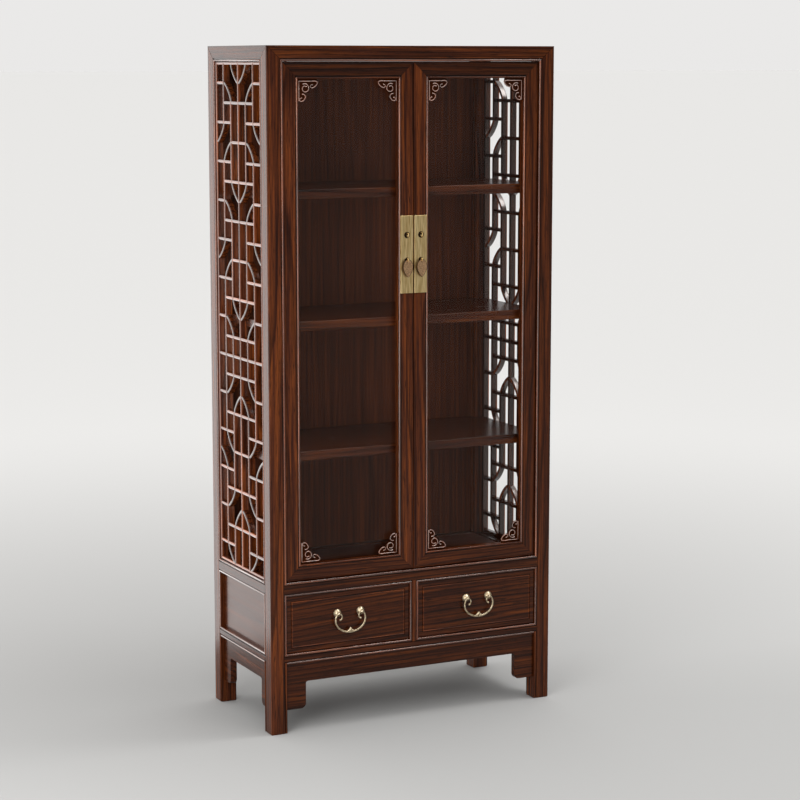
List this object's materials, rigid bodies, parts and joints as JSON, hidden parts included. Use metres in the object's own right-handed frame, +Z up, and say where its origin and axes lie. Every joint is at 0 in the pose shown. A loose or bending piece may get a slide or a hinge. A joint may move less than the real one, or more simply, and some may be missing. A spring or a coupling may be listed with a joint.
{
  "type": "display cabinet",
  "caption": "Tall display cabinet in dark stained elm with glazed pivot-hung doors, fretted lattice sides, housed shelves, and drawers with brass bail pulls.",
  "frame": {"origin": "on the floor under the middle of the carcase", "axes": "+Z up, +X to the viewer's right facing the doors, the doors and drawers face -Y"},
  "size_m": [0.84, 0.4128, 1.8],
  "materials": {
    "elm": "dark reddish-brown stained elm, satin lacquer",
    "elm_inside": "dark stained elm, dull inside finish",
    "brass": "aged satin brass",
    "glass": "clear flat glass"
  },
  "bodies": {
    "cabinet": {"apron_front": "elm", "apron_left": "elm", "apron_right": "elm", "back_panel_lower": "elm_inside", "back_panel_upper": "elm_inside", "cabinet_floor": "elm_inside", "drawer_divider": "elm", "drawer_runner_left": "elm_inside", "drawer_runner_middle": "elm_inside", "drawer_runner_right": "elm_inside", "lattice_left": "elm", "lattice_right": "elm", "lower_rail_back": "elm", "lower_rail_front": "elm", "lower_rail_left": "elm", "lower_rail_right": "elm", "mid_rail_back": "elm", "mid_rail_front": "elm", "mid_rail_left": "elm", "mid_rail_right": "elm", "post_back_left": "elm", "post_back_right": "elm", "post_front_left": "elm", "post_front_right": "elm", "shelf_1": "elm_inside", "shelf_2": "elm_inside", "shelf_3": "elm_inside", "side_panel_left": "elm", "side_panel_right": "elm", "top_panel": "elm", "top_rail_back": "elm", "top_rail_front": "elm", "top_rail_left": "elm", "top_rail_right": "elm"},
    "door_left": {"door_left_bottom_rail": "elm", "door_left_glass": "glass", "door_left_hinge_stile": "elm", "door_left_meeting_stile": "elm", "door_left_plate": "brass", "door_left_top_rail": "elm"},
    "door_right": {"door_right_bottom_rail": "elm", "door_right_glass": "glass", "door_right_hinge_stile": "elm", "door_right_meeting_stile": "elm", "door_right_plate": "brass", "door_right_top_rail": "elm"},
    "drawer_left": {"drawer_left_bottom": "elm_inside", "drawer_left_box": "elm_inside", "drawer_left_cap_left": "brass", "drawer_left_cap_right": "brass", "drawer_left_front": "elm"},
    "drawer_right": {"drawer_right_bottom": "elm_inside", "drawer_right_box": "elm_inside", "drawer_right_cap_left": "brass", "drawer_right_cap_right": "brass", "drawer_right_front": "elm"},
    "bail_left": {"bail_left": "brass"},
    "bail_right": {"bail_right": "brass"},
    "pendant_left": {"pendant_left": "brass"},
    "pendant_right": {"pendant_right": "brass"}
  },
  "joints": [
    {"name": "door_left_swing", "type": "hinge", "parent": "cabinet", "child": "door_left", "pos_m": [-0.363, -0.189, 0.409], "axis": [0, 0, -1], "range_deg": [0, 105]},
    {"name": "door_right_swing", "type": "hinge", "parent": "cabinet", "child": "door_right", "pos_m": [0.363, -0.189, 0.409], "axis": [0, 0, 1], "range_deg": [0, 105]},
    {"name": "drawer_left_slide", "type": "slide", "parent": "cabinet", "child": "drawer_left", "axis": [0, -1, 0], "range_m": [0, 0.22]},
    {"name": "drawer_right_slide", "type": "slide", "parent": "cabinet", "child": "drawer_right", "axis": [0, -1, 0], "range_m": [0, 0.22]},
    {"name": "bail_left_lift", "type": "hinge", "parent": "drawer_left", "child": "bail_left", "pos_m": [-0.19375, -0.2078, 0.3105], "axis": [-1, 0, 0], "range_deg": [0, 85]},
    {"name": "bail_right_lift", "type": "hinge", "parent": "drawer_right", "child": "bail_right", "pos_m": [0.19375, -0.2078, 0.3105], "axis": [-1, 0, 0], "range_deg": [0, 85]},
    {"name": "pendant_left_lift", "type": "hinge", "parent": "door_left", "child": "pendant_left", "pos_m": [-0.0205, -0.2025, 1.2414], "axis": [-1, 0, 0], "range_deg": [0, 75]},
    {"name": "pendant_right_lift", "type": "hinge", "parent": "door_right", "child": "pendant_right", "pos_m": [0.0205, -0.2025, 1.2414], "axis": [-1, 0, 0], "range_deg": [0, 75]}
  ]
}
